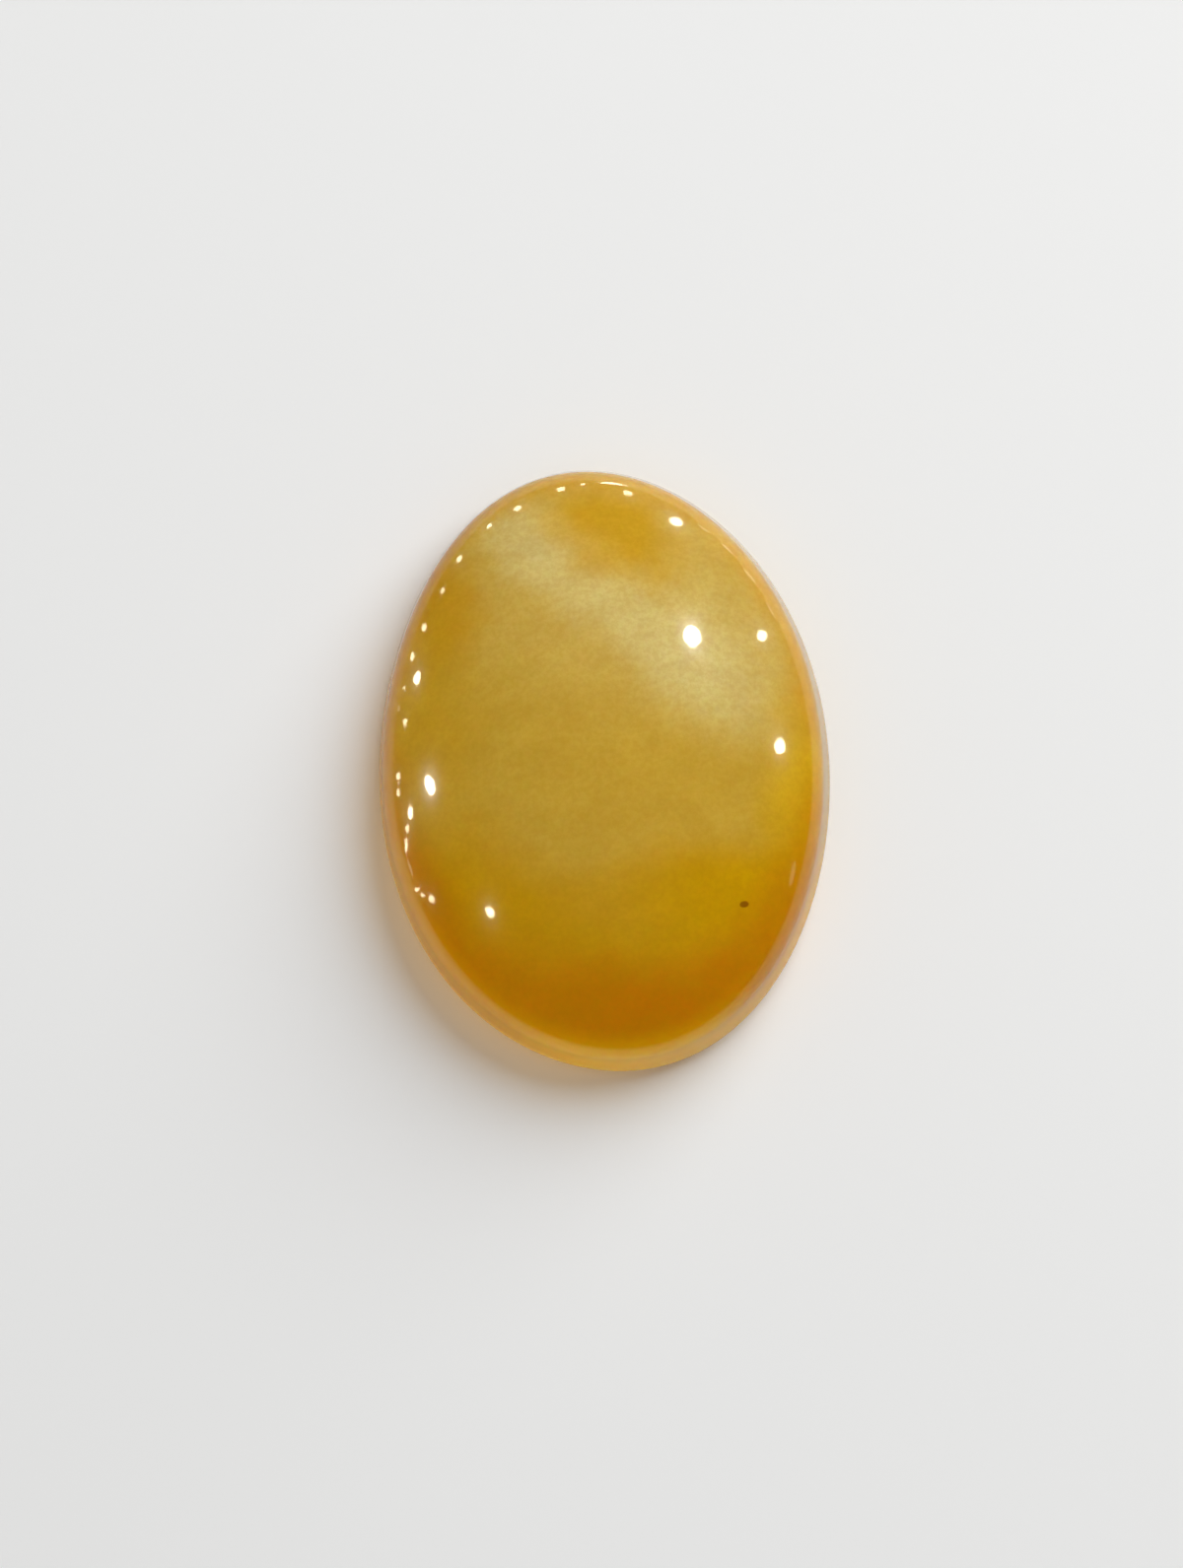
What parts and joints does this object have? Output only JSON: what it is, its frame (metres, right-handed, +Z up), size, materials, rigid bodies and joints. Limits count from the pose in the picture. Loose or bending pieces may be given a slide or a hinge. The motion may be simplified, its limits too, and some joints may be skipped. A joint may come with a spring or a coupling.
{
  "type": "polished agate cabochon",
  "caption": "Oval polished agate cabochon with a smooth low dome, rounded edge and flat ground back, to lie loose or be set in a bezel.",
  "frame": {"origin": "middle of the flat ground back, at the surface that the stone rests on", "axes": "+Z up through the top of the dome, +Y along the long axis towards the milky end, +X across the stone"},
  "size_m": [0.015, 0.0202, 0.005],
  "materials": {
    "honey_agate": "polished"
  },
  "bodies": {
    "root": {"agate_cabochon": "honey_agate"}
  },
  "joints": []
}
